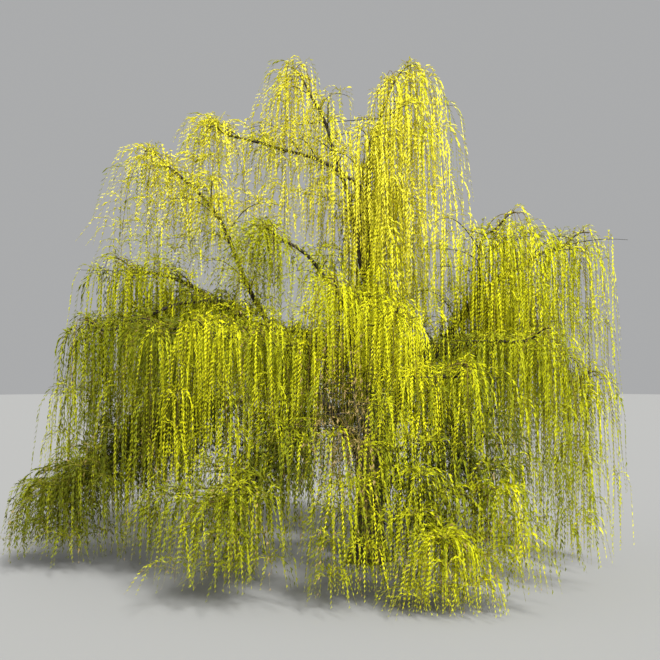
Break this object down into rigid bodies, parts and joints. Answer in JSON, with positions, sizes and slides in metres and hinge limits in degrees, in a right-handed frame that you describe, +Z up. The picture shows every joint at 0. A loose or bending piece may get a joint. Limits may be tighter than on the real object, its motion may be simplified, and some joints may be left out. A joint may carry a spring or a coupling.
{
  "type": "weeping willow tree",
  "caption": "Weeping willow in fresh spring leaf, rooted in the ground: a flared trunk, forking boughs that arch over, and long hanging shoots in tiers down to the ground.",
  "frame": {"origin": "centre of the trunk's flat cut at ground level", "axes": "+Z up the trunk, +X to the right and +Y away from the viewer as the tree is seen in the picture"},
  "size_m": [13.0598, 12.6533, 10.9397],
  "materials": {
    "bark": "rough ridged grey-brown bark",
    "leaf_bright": "sunlit young yellow-green leaves on golden shoots",
    "leaf_olive": "young olive-green leaves on golden shoots, in the shaded parts"
  },
  "bodies": {
    "root": {"trunk": "bark", "bough_leader": "bark", "bough_left": "bark", "bough_right": "bark", "bough_front": "bark", "bough_back": "bark", "bough_top_left": "bark", "bough_upper_left": "bark", "bough_upper_left_outer": "bark", "bough_middle_left": "bark", "bough_top_back": "bark", "bough_left_outer": "bark", "bough_left_front": "bark", "bough_low_left": "bark", "bough_left_back": "bark", "bough_front_tuft": "bark", "bough_front_left": "bark", "bough_front_dome": "bark", "bough_front_middle": "bark", "bough_front_low_left": "bark", "bough_front_low": "bark", "bough_right_crest": "bark", "bough_right_low": "bark", "bough_right_front": "bark", "bough_front_right": "bark", "bough_low_right": "bark", "bough_right_back": "bark", "bough_back_left": "bark", "bough_back_right": "bark", "bough_back_low": "bark", "foliage_leader": "leaf_bright", "foliage_left": "leaf_olive", "foliage_right": "leaf_bright", "foliage_front": "leaf_bright", "foliage_back": "leaf_olive", "foliage_top_left": "leaf_olive", "foliage_upper_left": "leaf_olive", "foliage_upper_left_outer": "leaf_bright", "foliage_middle_left": "leaf_bright", "foliage_top_back": "leaf_olive", "foliage_left_outer": "leaf_bright", "foliage_left_front": "leaf_bright", "foliage_low_left": "leaf_bright", "foliage_left_back": "leaf_olive", "foliage_front_tuft": "leaf_bright", "foliage_front_left": "leaf_bright", "foliage_front_dome": "leaf_bright", "foliage_front_middle": "leaf_bright", "foliage_front_low_left": "leaf_bright", "foliage_front_low": "leaf_bright", "foliage_right_crest": "leaf_bright", "foliage_right_low": "leaf_bright", "foliage_right_front": "leaf_bright", "foliage_front_right": "leaf_bright", "foliage_low_right": "leaf_bright", "foliage_right_back": "leaf_olive", "foliage_back_left": "leaf_olive", "foliage_back_right": "leaf_olive", "foliage_back_low": "leaf_olive"}
  },
  "joints": []
}
